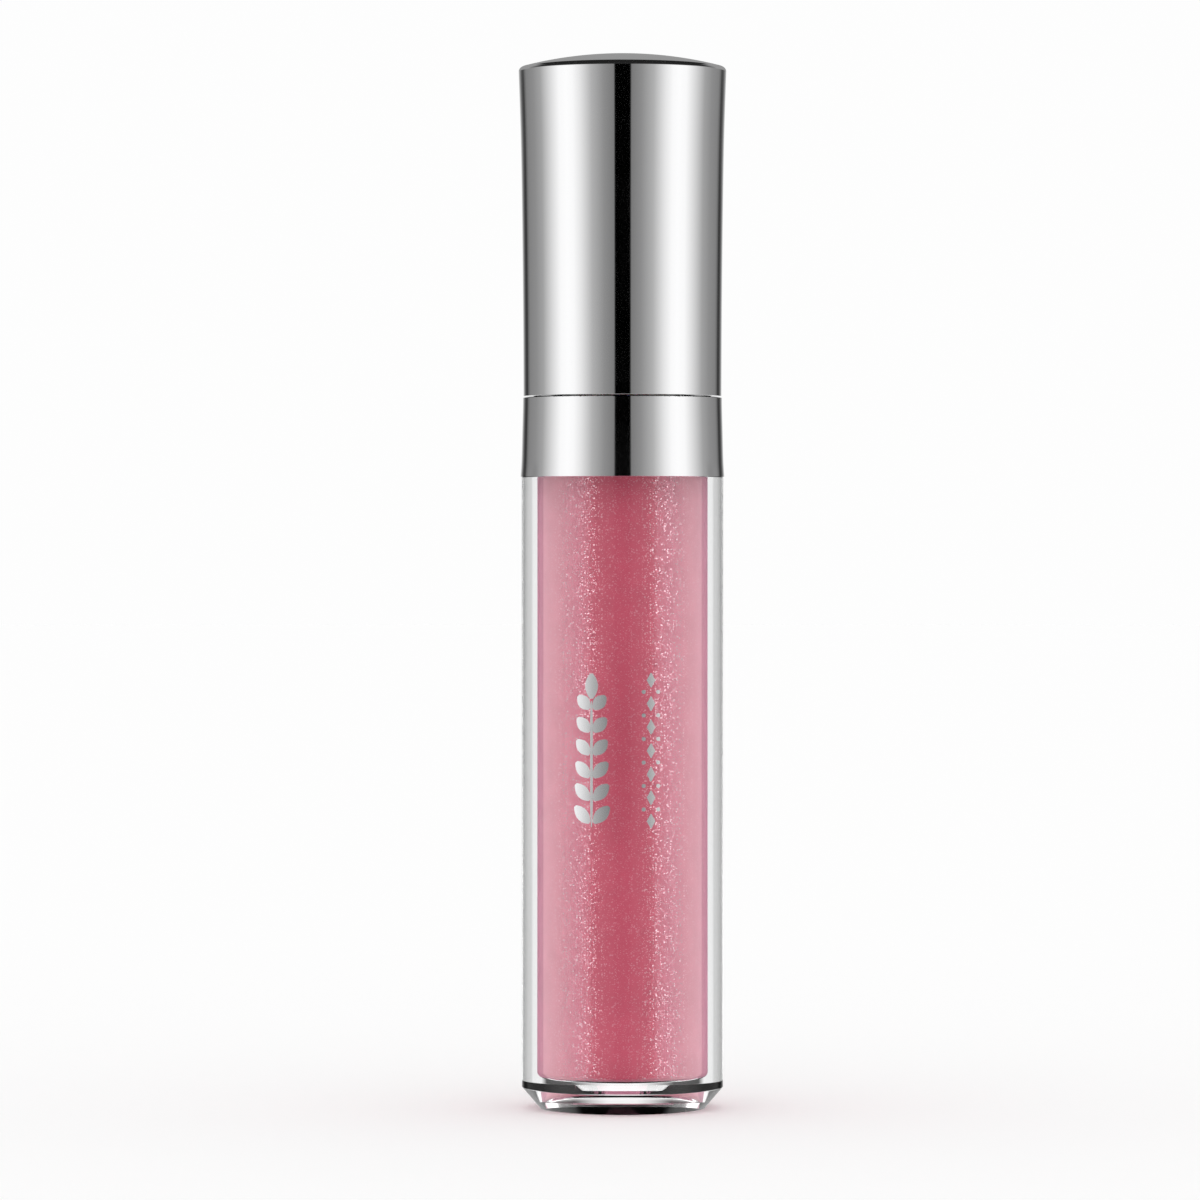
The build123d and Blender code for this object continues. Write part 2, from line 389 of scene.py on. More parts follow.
def noise_texture(tree, vector, scale, detail=2.0):
    """Noise from 0 to 1 with a number of features per millimetre."""
    texture = node(tree, "ShaderNodeTexNoise", Scale=scale, Detail=detail)
    tree.links.new(vector, texture.inputs["Vector"])
    return texture.outputs["Fac"]


def ramp(tree, value, stops):
    """A colour ramp with (position, colour) stops."""
    made = tree.nodes.new("ShaderNodeValToRGB")
    elements = made.color_ramp.elements
    while len(elements) > 1:
        elements.remove(elements[-1])
    elements[0].position = stops[0][0]
    elements[0].color = stops[0][1]
    for position, colour in stops[1:]:
        element = elements.new(position)
        element.color = colour
    tree.links.new(value, made.inputs["Fac"])
    return made.outputs["Color"]


def grey(level):
    return (level, level, level, 1)


def shades(tree, value, stops):
    """A ramp of (position, grey level) stops."""
    return ramp(tree, value, [(position, grey(level)) for position, level in stops])


def srgb(red, green, blue):
    """A colour given in display values from 0 to 255, as linear light."""
    channels = []
    for value in (red, green, blue):
        share = value / 255
        channels.append(share / 12.92 if share <= 0.04045 else ((share + 0.055) / 1.055) ** 2.4)
    return (*channels, 1)


def tones(tree, value, stops):
    """A ramp of (position, display colour from 0 to 255) stops."""
    return ramp(tree, value, [(position, srgb(*colour)) for position, colour in stops])


def math_node(tree, operation, first, second=None):
    """The result of a sum on one or two numbers or sockets."""
    made = node(tree, "ShaderNodeMath", operation=operation)
    for number, value in enumerate((first, second)):
        if value is None:
            continue
        if isinstance(value, (int, float)):
            made.inputs[number].default_value = value
        else:
            tree.links.new(value, made.inputs[number])
    return made.outputs[0]


def blended(tree, share, first, second):
    """A colour: first where share is 0 and second where it is 1."""
    made = node(tree, "ShaderNodeMix", data_type="RGBA")
    for socket, value in ((made.inputs[0], share), (made.inputs[6], first), (made.inputs[7], second)):
        if isinstance(value, tuple):
            socket.default_value = value
        else:
            tree.links.new(value, socket)
    return made.outputs[2]


def vector_math(tree, operation, first, second=None):
    """A vector node on one or two sockets, the second of which may be a fixed vector."""
    made = node(tree, "ShaderNodeVectorMath", operation=operation)
    tree.links.new(first, made.inputs[0])
    if isinstance(second, tuple):
        made.inputs[1].default_value = second
    elif second is not None:
        tree.links.new(second, made.inputs[1])
    return made


def bump(tree, shader, height, strength, distance):
    """Relief on a shader; distance is in metres."""
    made = node(tree, "ShaderNodeBump", Strength=strength, Distance=distance)
    tree.links.new(height, made.inputs["Height"])
    tree.links.new(made.outputs["Normal"], shader.inputs["Normal"])


# ---------------------------------------------------------------- materials


def clear_plastic():
    """Moulded clear plastic with a trace of flow waviness."""
    material, tree, shader = new_material("clear_wall")
    shader.inputs["Base Color"].default_value = (0.985, 0.99, 0.99, 1)
    shader.inputs["Transmission Weight"].default_value = 1
    shader.inputs["IOR"].default_value = WALL_IOR
    place = object_coordinates(tree)
    rough = shades(tree, noise_texture(tree, place, 0.35), [(0.35, 0.0), (0.8, 0.03)])
    tree.links.new(rough, shader.inputs["Roughness"])
    bump(tree, shader, noise_texture(tree, place, 0.12), 0.02, 0.02 * MM)
    return material


def frosted_rod():
    """Clear plastic of the rod, milky enough to look pale against a bright room."""
    material, tree, shader = new_material("clear_rod")
    shader.inputs["Base Color"].default_value = (0.96, 0.965, 0.965, 1)
    shader.inputs["Transmission Weight"].default_value = 0.45
    shader.inputs["IOR"].default_value = 1.49
    place = object_coordinates(tree)
    rough = shades(tree, noise_texture(tree, place, 0.6), [(0.35, 0.04), (0.8, 0.10)])
    tree.links.new(rough, shader.inputs["Roughness"])
    bump(tree, shader, noise_texture(tree, place, 0.5), 0.03, 0.02 * MM)
    return material


def mirror_silver(name):
    """Vacuum-metallised plastic: a bright mirror, a little duller in faint clouds."""
    material, tree, shader = new_material(name)
    shader.inputs["Base Color"].default_value = (0.93, 0.93, 0.935, 1)
    shader.inputs["Metallic"].default_value = 1
    smear = noise_texture(tree, object_coordinates(tree), 0.25, 4)
    rough = shades(tree, smear, [(0.3, 0.03), (0.75, 0.07)])
    tree.links.new(rough, shader.inputs["Roughness"])
    return material


def flakes_of(tree, place, scale, size, share):
    """Flakes in a share of the cells of space: 1 on a flake and 0 between, and a random colour per flake."""
    cells = node(tree, "ShaderNodeTexVoronoi", Scale=scale, Randomness=1.0)
    tree.links.new(place, cells.inputs["Vector"])
    luck = tree.nodes.new("ShaderNodeSeparateColor")
    tree.links.new(cells.outputs["Color"], luck.inputs["Color"])
    chosen = math_node(tree, "LESS_THAN", luck.outputs["Red"], share)
    reach = math_node(tree, "MULTIPLY", math_node(tree, "ADD", luck.outputs["Green"], 0.35), size)
    near = math_node(tree, "LESS_THAN", cells.outputs["Distance"], reach)
    return math_node(tree, "MULTIPLY", chosen, near), cells.outputs["Color"]


def gloss_material():
    """Opaque rose gloss with fine flakes, its colour carrying painted sheen: deep rose where it faces the eye,
    paler pink towards its edges, and painted glints on the flakes.
    """
    material, tree, shader = new_material("rose_gloss")
    place = object_coordinates(tree)
    facing = node(tree, "ShaderNodeLayerWeight", Blend=0.5).outputs["Facing"]
    # Painted sheen: the colour runs from deep rose where the surface faces the eye to pale pink on the flanks
    # and mauve at the very edge, in place of side light and edge reflection.
    rose_with_painted_sheen = tones(
        tree, facing,
        [
            (0.0, (221, 97, 121)), (0.05, (215, 88, 114)), (0.072, (216, 94, 119)), (0.088, (222, 112, 135)),
            (0.15, (222, 122, 145)), (0.25, (228, 141, 160)), (0.40, (242, 169, 184)),
            (0.55, (249, 181, 196)), (0.62, (248, 178, 195)), (0.65, (224, 143, 168)), (0.80, (231, 148, 178)),
        ],
    )
    cloud = shades(tree, noise_texture(tree, place, 0.5, 3), [(0.3, 0.94), (0.7, 1.0)])
    clouded = node(tree, "ShaderNodeMix", data_type="RGBA", blend_type="MULTIPLY")
    clouded.inputs[0].default_value = 1
    tree.links.new(rose_with_painted_sheen, clouded.inputs[6])
    tree.links.new(cloud, clouded.inputs[7])
    coarse, coarse_luck = flakes_of(tree, place, 4.8, 0.30, 0.5)
    fine, fine_luck = flakes_of(tree, place, 9.5, 0.32, 0.6)
    luck = blended(tree, coarse, fine_luck, coarse_luck)
    # Painted glints: the flakes turn pale pink in their colour only in a band of facing where side lights
    # would glint in them; their metal and tilt are real.
    painted_glint_band = shades(
        tree, facing,
        [(0.0, 0.2), (0.03, 0.3), (0.07, 0.75), (0.26, 0.8), (0.36, 0.35), (0.6, 0.15)],
    )
    flakes = math_node(tree, "MULTIPLY", math_node(tree, "MAXIMUM", coarse, fine), painted_glint_band)
    colour_with_painted_glints = blended(tree, flakes, clouded.outputs[2], srgb(255, 222, 230))
    tree.links.new(colour_with_painted_glints, shader.inputs["Base Color"])
    strength = math_node(tree, "MULTIPLY", flakes, 0.45)
    tree.links.new(strength, shader.inputs["Metallic"])
    tree.links.new(shades(tree, flakes, [(0.0, 0.4), (1.0, 0.2)]), shader.inputs["Roughness"])
    tilt = vector_math(tree, "SUBTRACT", luck, (0.5, 0.5, 0.5))
    amount = vector_math(tree, "SCALE", tilt.outputs[0])
    tree.links.new(strength, amount.inputs["Scale"])
    geometry = tree.nodes.new("ShaderNodeNewGeometry")
    tilted = vector_math(tree, "ADD", geometry.outputs["Normal"], amount.outputs[0])
    tree.links.new(vector_math(tree, "NORMALIZE", tilted.outputs[0]).outputs[0], shader.inputs["Normal"])
    return material


def label_material():
    """Black film with fine grain and, on its underside, a small round swatch of the shade."""
    material, tree, shader = new_material("label_black")
    place = object_coordinates(tree)
    split = tree.nodes.new("ShaderNodeSeparateXYZ")
    tree.links.new(place, split.inputs["Vector"])
    flat = vector_math(tree, "MULTIPLY", place, (1, 1, 0)).outputs[0]
    radius = vector_math(tree, "LENGTH", flat).outputs["Value"]
    film = shades(tree, noise_texture(tree, place, 5, 3), [(0.3, 0.002), (0.7, 0.005)])
    inside = math_node(tree, "LESS_THAN", radius, SWATCH_R)
    below = math_node(tree, "LESS_THAN", split.outputs["Z"], LABEL_LOW.z + SWATCH_DEPTH)
    printed = blended(tree, math_node(tree, "MULTIPLY", inside, below), film, srgb(196, 88, 110))
    tree.links.new(printed, shader.inputs["Base Color"])
    shader.inputs["Roughness"].default_value = 0.6
    shader.inputs["Specular IOR Level"].default_value = 0
    return material


def soft_white(name):
    """White moulded plastic or foam, a little waxy."""
    material, tree, shader = new_material(name)
    place = object_coordinates(tree)
    cloud = noise_texture(tree, place, 0.8, 3)
    white = tones(tree, cloud, [(0.3, (226, 226, 222)), (0.7, (236, 236, 233))])
    tree.links.new(white, shader.inputs["Base Color"])
    shader.inputs["Roughness"].default_value = 0.42
    shader.inputs["Subsurface Weight"].default_value = 0.25
    shader.inputs["Subsurface Scale"].default_value = 1.0 * MM
    bump(tree, shader, noise_texture(tree, place, 6), 0.1, 0.02 * MM)
    return material


def steel_material():
    """Steel with turning marks round its axis."""
    material, tree, shader = new_material("turned_steel")
    shader.inputs["Base Color"].default_value = (0.55, 0.55, 0.56, 1)
    shader.inputs["Metallic"].default_value = 1
    lines = noise_texture(tree, object_coordinates(tree, (1, 1, 20)), 1.5)
    rough = shades(tree, lines, [(0.3, 0.25), (0.7, 0.45)])
    tree.links.new(rough, shader.inputs["Roughness"])
    return material


def painted_reservoir_shade(tree, place):
    """1 in the middle of the tip's reservoir, falling to 0 at its rim: the strength of the painted shade in
    the hollow.
    """
    middle = (-tip_section(RESERVOIR_MIDDLE)[2], 0, TIP_LOW.z + RESERVOIR_MIDDLE)
    from_middle = vector_math(tree, "SUBTRACT", place, middle)
    half_sizes = (2 / RESERVOIR_WIDTH, 0, 2 / RESERVOIR_LENGTH)
    scaled = vector_math(tree, "MULTIPLY", from_middle.outputs[0], half_sizes)
    reach = vector_math(tree, "LENGTH", scaled.outputs[0]).outputs["Value"]
    split = tree.nodes.new("ShaderNodeSeparateXYZ")
    tree.links.new(place, split.inputs["Vector"])
    in_front = math_node(tree, "LESS_THAN", split.outputs["Y"], 0)
    return math_node(tree, "MULTIPLY", in_front, shades(tree, reach, [(0.3, 1.0), (1.0, 0.0)]))


def coat_material():
    """Matted flock soaked in gloss: deep rose with random speckles whose palest spots are painted glints; in
    the reservoir painted shade makes it deeper, and it is smoother there.
    """
    material, tree, shader = new_material("wet_coat")
    place = object_coordinates(tree)
    speckle = noise_texture(tree, place, 3.6, 4)
    # Random speckle of the wet flock, whose palest spots are painted glints.
    rose = tones(
        tree, speckle,
        [(0.36, (168, 44, 78)), (0.48, (196, 72, 104)), (0.58, (226, 128, 150)), (0.68, (250, 205, 214))],
    )
    # Painted shade: the coat is coloured a deeper rose down in the reservoir hollow.
    hollow = painted_reservoir_shade(tree, place)
    tree.links.new(blended(tree, hollow, rose, srgb(176, 44, 80)), shader.inputs["Base Color"])
    shader.inputs["Roughness"].default_value = 0.25
    shader.inputs["Coat Weight"].default_value = 0.8
    shader.inputs["Coat Roughness"].default_value = 0.08
    bump(tree, shader, noise_texture(tree, place, 6, 4), 0.9, 0.15 * MM)
    return material


def fibre_material():
    """Nylon fibres wet with gloss, each in its own tone from deep rose to pale pink."""
    material, tree, shader = new_material("wet_fibres")
    geometry = tree.nodes.new("ShaderNodeNewGeometry")
    grain = noise_texture(tree, object_coordinates(tree), 5, 3)
    own_tone = math_node(tree, "MULTIPLY", geometry.outputs["Random Per Island"], 0.7)
    tone = math_node(tree, "ADD", own_tone, grain)
    pink = tones(
        tree, math_node(tree, "SUBTRACT", tone, 0.15),
        [(0.2, (186, 66, 98)), (0.5, (222, 112, 138)), (0.8, (246, 178, 192)), (1.0, (255, 226, 232))],
    )
    tree.links.new(pink, shader.inputs["Base Color"])
    shader.inputs["Roughness"].default_value = 0.2
    shader.inputs["Coat Weight"].default_value = 0.8
    shader.inputs["Coat Roughness"].default_value = 0.08
    return material


def bead_material():
    """A smooth drop of gloss, its colour carrying painted light: a painted highlight of pale pink where it
    faces the eye and painted shade of deep rose round its edge.
    """
    material, tree, shader = new_material("bead_gloss")
    place = object_coordinates(tree)
    facing = node(tree, "ShaderNodeLayerWeight", Blend=0.5).outputs["Facing"]
    # Painted highlight and shade: pale pink where the drop faces the eye, deep rose round its rim.
    across = tones(
        tree, facing,
        [(0.0, (232, 148, 168)), (0.08, (220, 122, 146)), (0.22, (202, 84, 114)), (0.5, (162, 38, 72))],
    )
    grain = shades(tree, noise_texture(tree, place, 8, 3), [(0.35, 0.0), (0.7, 0.7)])
    tree.links.new(blended(tree, grain, across, srgb(222, 120, 144)), shader.inputs["Base Color"])
    shader.inputs["Roughness"].default_value = 0.25
    shader.inputs["Coat Weight"].default_value = 1.0
    shader.inputs["Coat Roughness"].default_value = 0.05
    bump(tree, shader, noise_texture(tree, place, 1.5), 0.2, 0.05 * MM)
    return material


def core_material():
    """Soft elastomer of the tip's core."""
    material, tree, shader = new_material("core_rubber")
    cloud = noise_texture(tree, object_coordinates(tree), 2, 3)
    pink = tones(tree, cloud, [(0.3, (214, 140, 152)), (0.7, (224, 156, 166))])
    tree.links.new(pink, shader.inputs["Base Color"])
    shader.inputs["Roughness"].default_value = 0.5
    return material


def foil_material():
    """Hot-stamped silver foil, a little grainy."""
    material, tree, shader = new_material("silver_foil")
    shader.inputs["Base Color"].default_value = (0.93, 0.93, 0.94, 1)
    shader.inputs["Metallic"].default_value = 1
    place = object_coordinates(tree)
    rough = shades(tree, noise_texture(tree, place, 1.2, 3), [(0.3, 0.14), (0.7, 0.24)])
    tree.links.new(rough, shader.inputs["Roughness"])
    bump(tree, shader, noise_texture(tree, place, 9, 2), 0.15, 0.01 * MM)
    return material


# ---------------------------------------------------------------- pieces

TIP_CURVE = curve_through(TIP_SECTIONS)


def make_barrel():
    """The bottle as one clear skin: foot, barrel, shoulder, threaded neck, bore and cavity."""
    roof = LABEL_HIGH.z + AIR_GAP
    outline = rounded(
        [
            (0, roof, 0), (RECESS_R, roof, 0.1), (RECESS_R, 0, 0.12), (FOOT_R, 0, 0.15),
            (BODY_R, CHAMFER_TOP, 0.1), (BODY_R, BODY_TOP, 0.08), (SEAT_R, BODY_TOP, 0),
            (SEAT_R, SHOULDER_TOP, 0.2), (NECK_R, SHOULDER_TOP, 0.25), (NECK_R, NECK_TOP, 0.25),
            (NECK_BORE_R, NECK_TOP, 0.2), (NECK_BORE_R, SHOULDER_TOP, 0),
            (CAVITY_R, SHOULDER_TOP - CAVITY_ROOF_DROP, 0.2),
            (CAVITY_R, CAVITY_FLOOR, CAVITY_ROUNDING), (0, CAVITY_FLOOR, 0),
        ]
    )
    ridge = thread_ridge("neck_ridge", NECK_R, THREAD_CREST_R, THREAD_START, THREAD_TURNS)
    return combined(turned("clear_barrel", outline), ridge, "UNION")


def make_gloss():
    """The gloss: it wets the wall by a hair, and a film of air under it keeps the base clear."""
    flat_r = CAVITY_R - CAVITY_ROUNDING
    steps = 12
    outline = [(0, CAVITY_FLOOR + AIR_GAP)]
    for step in range(steps + 1):
        angle = math.pi / 2 * step / steps
        wets = step >= steps / 2
        reach = CAVITY_ROUNDING + (WETTING if wets else -AIR_GAP)
        r = flat_r + reach * math.sin(angle)
        outline.append((r, CAVITY_FLOOR + CAVITY_ROUNDING - reach * math.cos(angle)))
    outline += [(CAVITY_R + WETTING, GLOSS_HIGH.z), (0, GLOSS_HIGH.z - MENISCUS)]
    return turned("gloss_body", outline)


def make_collar():
    """The flared mirror ring over the shoulder, with a lip that reaches in to the neck."""
    sides = [(r, z, 0) for r, z in curve_through(COLLAR_FLARE)[:-1]]
    top_r, top = COLLAR_FLARE[-1]
    inside = [
        (top_r, top, COLLAR_TOP_ROUNDING), (COLLAR_LIP_R, top, 0.1), (COLLAR_LIP_R, COLLAR_LEDGE, 0),
        (COLLAR_BORE_R, COLLAR_LEDGE, 0), (COLLAR_BORE_R, COLLAR_LOW.z, 0),
    ]
    return turned("collar_ring", rounded(sides + inside))


def make_cap():
    """The flared mirror cap with its low dome, hollow for the inner cap."""
    corner_r, corner_z = CAP_FLARE[-1]
    rise = CAP_TOP - corner_z
    dome_r = (corner_r**2 + rise**2) / (2 * rise)
    rim = [(CAP_FLARE[0][0], CAP_LOW.z, CAP_RIM_ROUNDING)]
    sides = [(r, z, 0) for r, z in curve_through(CAP_FLARE)[1:-1]]
    dome = []
    for step in range(1, DOME_STEPS + 1):
        r = corner_r * (1 - step / DOME_STEPS)
        dome.append((r, CAP_TOP - dome_r + math.sqrt(dome_r**2 - r**2), 0))
    corner = [(corner_r, corner_z, CAP_CORNER)]
    inside = [(0, CAP_TOP - CAP_CROWN, 0), (SHELL_BORE_R, SHELL_ROOF, 0.4), (SHELL_BORE_R, CAP_LOW.z, 0.1)]
    return turned("mirror_cap", rounded(rim + sides + corner + dome + inside))


def make_wiper():
    """The soft funnel in the neck: a flange on top, a tapering nose and a narrow orifice."""
    top = WIPER_HIGH.z
    low = WIPER_LOW.z
    flange_r = WIPER_HIGH.x
    outline = rounded(
        [
            (MOUTH_R, top, 0.2), (flange_r, top, 0.15), (flange_r, NECK_TOP, 0.1), (NECK_BORE_R, NECK_TOP, 0),
            (NECK_BORE_R, NOSE_START, 0.3), (NOSE_R, low, 0.2), (ORIFICE_R, low, 0.1),
            (ORIFICE_R, ORIFICE_TOP, 0.2), (MOUTH_R, MOUTH_FLOOR, 0.5),
        ]
    )
    return turned("soft_wiper", outline, 96)


def cylinder(name, r, low, high, rounding, around):
    """A closed cylinder on the axis with rounded edges."""
    return turned(name, rounded([(0, low, 0), (r, low, rounding), (r, high, rounding), (0, high, 0)]), around)


def make_rod():
    """The clear rod, with the pocket of air that the stem of the tip leaves in its bore."""
    rod = cylinder("clear_rod", ROD_R, ROD_BOTTOM, ROD_TOP, 0.1, 128)
    pocket = cylinder("air_pocket", BORE_R, ROD_BOTTOM + STEM_LENGTH, ROD_BOTTOM + BORE_DEPTH, 0.05, 64)
    return combined(rod, pocket, "DIFFERENCE")


def make_label():
    """The round film label in the recess of the foot."""
    return cylinder("foot_label", LABEL_HIGH.x, LABEL_LOW.z, LABEL_HIGH.z, 0.05, 128)


def lens_width(share):
    """Width profile of a leaf: pointed at both ends."""
    return math.sin(math.pi * share) ** 0.8


def diamond_width(share):
    """Width profile of a lozenge."""
    return 1 - abs(2 * share - 1)


def round_width(share):
    """Width profile of a dot."""
    return math.sqrt(max(0.0, 1 - (2 * share - 1) ** 2))


def band_width(share):
    """Width profile of a plain band with rounded ends."""
    return min(1.0, 6 * min(share, 1 - share)) ** 0.5


def add_foil(shape, profile, start, end, width, along=20, across=6):
    """A thin closed patch of foil on the barrel from start to end, each (distance round it, height)."""
    axis = Vector(end) - Vector(start)
    side = Vector((-axis.y, axis.x)).normalized() * width / 2
    layers = []
    for r in (FOIL_BOTTOM_R, FOIL_TOP_R):
        rows = []
        for step in range(1, along):
            share = step / along
            row = []
            for place in range(across + 1):
                aside = 2 * place / across - 1
                flat = Vector(start) + axis * share + side * (aside * profile(share))
                x = r * math.sin(flat.x / BODY_R)
                y = -r * math.cos(flat.x / BODY_R)
                row.append(shape.verts.new((x * MM, y * MM, flat.y * MM)))
            rows.append(row)
        layers.append(rows)
    bottom, top = layers
    for rows in layers:
        for row, following in zip(rows, rows[1:]):
            for place in range(across):
                shape.faces.new((row[place], row[place + 1], following[place + 1], following[place]))
    for place in range(across):
        for end_row in (0, -1):
            low, high = bottom[end_row], top[end_row]
            shape.faces.new((low[place], low[place + 1], high[place + 1], high[place]))
    for number in range(len(bottom) - 1):
        for edge in (0, -1):
            low = (bottom[number][edge], bottom[number + 1][edge])
            high = (top[number + 1][edge], top[number][edge])
            shape.faces.new(low + high)


def add_sprig(shape):
    """A stalk with pairs of leaves that get shorter upwards, and a leaf at its end."""
    stalk_top = ORNAMENT_HIGH - LEAF_LENGTH
    add_foil(shape, band_width, (SPRIG_X, ORNAMENT_LOW), (SPRIG_X, stalk_top), STALK_WIDTH, 60)
    rise = (ORNAMENT_HIGH - ORNAMENT_LOW - 1.6 * LEAF_LENGTH) / (LEAF_PAIRS - 1)
    for number in range(LEAF_PAIRS):
        z = ORNAMENT_LOW + 0.5 + rise * number
        length = LEAF_LENGTH * (1 - 0.04 * number)
        for way in (-1, 1):
            root = (SPRIG_X + way * 0.12, z)
            reach = (SPRIG_X + way * length * 0.7, z + length * 0.68)
            add_foil(shape, lens_width, root, reach, LEAF_WIDTH)
    add_foil(shape, lens_width, (SPRIG_X, stalk_top - 0.1), (SPRIG_X, ORNAMENT_HIGH), END_LEAF_WIDTH)


def add_lozenges(shape):
    """A column of lozenges with a dot at both sides of each gap."""
    step = (ORNAMENT_HIGH - ORNAMENT_LOW - LOZENGE_LENGTH) / (LOZENGE_COUNT - 1)
    for number in range(LOZENGE_COUNT):
        z = ORNAMENT_LOW + step * number
        add_foil(shape, diamond_width, (LOZENGE_X, z), (LOZENGE_X, z + LOZENGE_LENGTH), LOZENGE_WIDTH)
        if number < LOZENGE_COUNT - 1:
            middle = z + (LOZENGE_LENGTH + step) / 2
            for aside in (-DOT_ASIDE, DOT_ASIDE):
                low = (LOZENGE_X + aside, middle - DOT_R)
                add_foil(shape, round_width, low, (LOZENGE_X + aside, middle + DOT_R), 2 * DOT_R)


def make_ornament():
    """Silver foil on the front of the barrel: a leaf sprig at the left, lozenges and dots at the right."""
    shape = bmesh.new()
    add_sprig(shape)
    add_lozenges(shape)
    return smooth(object_from("foil_ornament", shape))


# The doe-foot tip: heights are above its apex, and the front with the reservoir faces -Y


def tip_section(height):
    """Half width, half depth and lean of the tip at a height."""
    last = len(TIP_CURVE) - 1
    for number in range(last):
        low, high = TIP_CURVE[number], TIP_CURVE[number + 1]
        if height <= high[0] or number == last - 1:
            share = min(1.0, max(0.0, (height - low[0]) / (high[0] - low[0])))
            return [a + (b - a) * share for a, b in zip(low[1:], high[1:])]


def tip_end_share(height):
    """1 along the tip, and less where its apex and its shoulder round off."""
    from_apex = min(1.0, height / APEX_ROUNDING)
    from_top = min(1.0, (TIP_LENGTH - height) / SHOULDER_ROUNDING)
    near_apex = math.sqrt(1 - (1 - from_apex) ** 2)
    near_top = SHOULDER_SHARE + (1 - SHOULDER_SHARE) * math.sqrt(1 - (1 - from_top) ** 2)
    return near_apex * near_top


def slot_depth(x, height, inset):
    """How far the reservoir slot cuts into the front at a place, from 0 outside it to 1 inside."""
    dz = 2 * (height - RESERVOIR_MIDDLE) / (RESERVOIR_LENGTH - inset)
    dx = 2 * x / (RESERVOIR_WIDTH - inset * 0.8)
    inside = max(0.0, 1 - math.sqrt(dz**2 + dx**2))
    near = min(1.0, 1.9 * inside)
    return near * near * (3 - 2 * near)


def tip_point(angle, height, inset, slot_floor):
    """A point of the tip's skin, in millimetres; angle 0 faces -Y."""
    half_width, half_depth, lean = tip_section(height)
    share = tip_end_share(height)
    x = (half_width * share - inset) * math.sin(angle)
    y = -(half_depth * share - inset) * math.cos(angle)
    if y < 0:
        cut = slot_depth(x, height, inset)
        y = y * (1 - cut) + max(y, -slot_floor) * cut
    return Vector((x - lean, y, TIP_LOW.z + height))


def tip_skin(shape, inset, slot_floor, low, high, around=144, rise=150):
    """Add one closed skin of the tip between two heights."""
    rings = []
    for step in range(rise + 1):
        share = step / rise
        height = low + (high - low) * (1 - math.cos(math.pi * share)) / 2
        ring = []
        for number in range(around):
            point = tip_point(2 * math.pi * number / around, height, inset, slot_floor)
            ring.append(shape.verts.new(point * MM))
        rings.append(ring)
    for ring, following in zip(rings, rings[1:]):
        for number in range(around):
            other = (number + 1) % around
            shape.faces.new((ring[number], ring[other], following[other], following[number]))
    shape.faces.new(rings[0])
    shape.faces.new(rings[-1])


def make_tip_core():
    """Soft core of the tip, with the dimple of the reservoir in its front."""
    shape = bmesh.new()
    tip_skin(shape, CORE_INSET, RESERVOIR_FLOOR - 0.15, CORE_LOW, TIP_LENGTH - CORE_TOP_GAP, 96, 90)
    return smooth(object_from("soft_tip_core", shape), 40)


def make_tip_coat():
    """The flocked skin over the core, wet with gloss."""
    shape = bmesh.new()
    tip_skin(shape, 0, RESERVOIR_FLOOR, 0.01, TIP_LENGTH)
    return smooth(object_from("tip_coat", shape), 40)


def make_bead():
    """A drop of gloss that hangs on the front of the tip near its apex."""
    ball = []
    for step in range(BEAD_STEPS + 1):
        angle = math.pi * step / BEAD_STEPS
        ball.append((math.sin(angle), -math.cos(angle)))
    bead = turned("gloss_bead", ball, 56)
    lean = tip_section(BEAD_HEIGHT)[2]
    half_width, half_depth, half_height = BEAD_REACH
    for vert in bead.data.vertices:
        x, y, z = vert.co / MM
        narrowing = 1 - BEAD_NARROWING * z
        place = (
            x * half_width * narrowing - lean - BEAD_ASIDE,
            y * half_depth - BEAD_BACK,
            z * half_height + TIP_LOW.z + BEAD_HEIGHT,
        )
        vert.co = Vector(place) * MM
    return bead


def is_bare(root, height):
    """Whether a place on the tip's front carries no fibres: round the bead and down in the reservoir."""
    if root.y >= 0:
        return False
    across = root.x + tip_section(height)[2]
    return height < BEAD_HEIGHT + BARE_ROUND_BEAD or slot_depth(across, height, 0) > 0.35


def outward_at(root, angle, height):
    """The direction straight out of the coat at a place."""
    beside = tip_point(angle + 0.05, height, FIBRE_ROOT, RESERVOIR_FLOOR) - root
    above = tip_point(angle, min(TIP_LENGTH, height + 0.1), FIBRE_ROOT, RESERVOIR_FLOOR) - root
    return beside.cross(above).normalized()


def add_fibre(shape, root, outward, flank):
    """One closed, tapered, slightly bent fibre; flank is 1 at the sides of the tip, where they are long."""
    lean = Vector((random.gauss(0, 0.5), random.gauss(0, 0.5), random.gauss(0.15, 0.5)))
    way = (outward + lean).normalized()
    if way.dot(outward) < 0.25:
        way = (way + outward).normalized()
    length = random.uniform(0.22, 0.45) + flank * random.uniform(0.1, 0.65)
    thickness = random.uniform(0.018, 0.034)
    bend = Vector((random.gauss(0, 0.06), random.gauss(0, 0.06), random.gauss(0, 0.06)))
    across = way.orthogonal().normalized()
    other = way.cross(across)
    rings = []
    for share, width in ((0, 1.0), (0.6, 0.8)):
        ring = []
        for corner in range(3):
            turn = 2 * math.pi * corner / 3
            offset = (across * math.cos(turn) + other * math.sin(turn)) * thickness * width
            ring.append(shape.verts.new((root + way * length * share + bend * share**2 + offset) * MM))
        rings.append(ring)
    low, high = rings
    point = shape.verts.new((root + way * length + bend) * MM)
    shape.faces.new(low)
    for corner in range(3):
        following = (corner + 1) % 3
        shape.faces.new((low[corner], low[following], high[following], high[corner]))
        shape.faces.new((high[corner], high[following], point))


